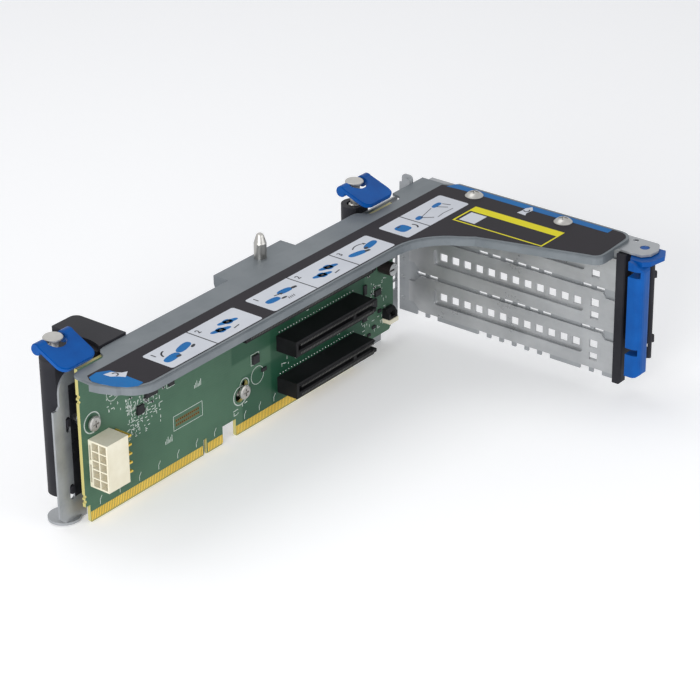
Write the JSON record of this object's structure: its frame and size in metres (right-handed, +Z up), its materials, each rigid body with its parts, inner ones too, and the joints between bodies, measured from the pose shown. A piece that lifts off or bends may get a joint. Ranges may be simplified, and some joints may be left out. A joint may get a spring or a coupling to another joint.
{
  "type": "riser cage bracket",
  "caption": "L-shaped sheet steel server riser cage with a riser board, card slots, a vented rear panel, half-turn latches, a guide pin and a hinged slot retainer.",
  "frame": {"origin": "bottom left corner of the board's first edge tongue, on the board's component side", "axes": "+X along the rail towards the rear panel, +Y behind the board, +Z up from the edge tongues to the rail"},
  "size_m": [0.2497, 0.1602, 0.0838],
  "materials": {
    "zinc_steel": "satin zinc plating",
    "bright_steel": "bright nickel plating",
    "cover_steel": "satin",
    "label_black": "matte printed film",
    "board_green": "satin solder mask over glass laminate",
    "gold_contacts": "gold plating",
    "connector_black": "matte",
    "header_cream": "matte natural nylon",
    "capacitor_dark": "sleeved",
    "housing_black": "fine moulded texture",
    "latch_blue": "satin moulded",
    "film_black": "satin polyester film"
  },
  "bodies": {
    "cage": {"rail": "zinc_steel", "label_sheet": "label_black", "back_wall": "zinc_steel", "insulator": "film_black", "pin_bracket": "zinc_steel", "guide_pin": "bright_steel", "rear_frame": "zinc_steel", "slot_cover_1": "cover_steel", "slot_cover_2": "cover_steel", "slot_cover_3": "cover_steel", "top_screws": "bright_steel", "riser_board": "board_green", "edge_contacts": "gold_contacts", "slot_connector_1": "connector_black", "slot_connector_2": "connector_black", "slot_connector_3": "connector_black", "power_header": "header_cream", "header_pins": "gold_contacts", "capacitors": "capacitor_dark", "chips": "connector_black", "board_screws": "bright_steel", "board_spacers": "bright_steel", "edge_clip": "connector_black", "clip_base": "header_cream", "front_housing": "housing_black", "rear_barrel": "housing_black", "front_spring": "bright_steel", "rear_spring": "bright_steel", "hinge_pin": "bright_steel"},
    "front_plunger": {"front_collar": "bright_steel"},
    "rear_plunger": {"rear_collar": "bright_steel"},
    "front_latch": {"front_stud": "bright_steel", "front_pin": "bright_steel"},
    "rear_latch": {"rear_stud": "bright_steel", "rear_pin": "bright_steel"},
    "front_flap": {"front_wing": "latch_blue"},
    "rear_flap": {"rear_wing": "latch_blue"},
    "retainer": {"slot_retainer": "latch_blue", "pressure_bar": "housing_black", "retainer_back": "housing_black"}
  },
  "joints": [
    {"name": "front_press", "type": "slide", "parent": "cage", "child": "front_plunger", "axis": [0, 0, -1], "range_m": [0, 0.0025], "stiffness_N_per_m": 1200, "springref_m": -0.004, "deforming": ["front_spring"]},
    {"name": "front_turn", "type": "hinge", "parent": "front_plunger", "child": "front_latch", "pos_m": [-0.0034, 0.0116, 0.07], "axis": [0, 0, 1], "range_deg": [0, 180]},
    {"name": "front_flip", "type": "hinge", "parent": "front_latch", "child": "front_flap", "pos_m": [-0.0034, 0.0116, 0.0812], "axis": [-1, 0, 0], "range_deg": [0, 110]},
    {"name": "rear_press", "type": "slide", "parent": "cage", "child": "rear_plunger", "axis": [0, 0, -1], "range_m": [0, 0.0025], "stiffness_N_per_m": 1200, "springref_m": -0.004, "deforming": ["rear_spring"]},
    {"name": "rear_turn", "type": "hinge", "parent": "rear_plunger", "child": "rear_latch", "pos_m": [0.1916, 0.0116, 0.07], "axis": [0, 0, 1], "range_deg": [0, 180]},
    {"name": "rear_flip", "type": "hinge", "parent": "rear_latch", "child": "rear_flap", "pos_m": [0.1916, 0.0116, 0.0812], "axis": [-1, 0, 0], "range_deg": [0, 105]},
    {"name": "retainer_swing", "type": "hinge", "parent": "cage", "child": "retainer", "pos_m": [0.2293, -0.1188, 0.04], "axis": [0, 0, 1], "range_deg": [0, 90]}
  ]
}
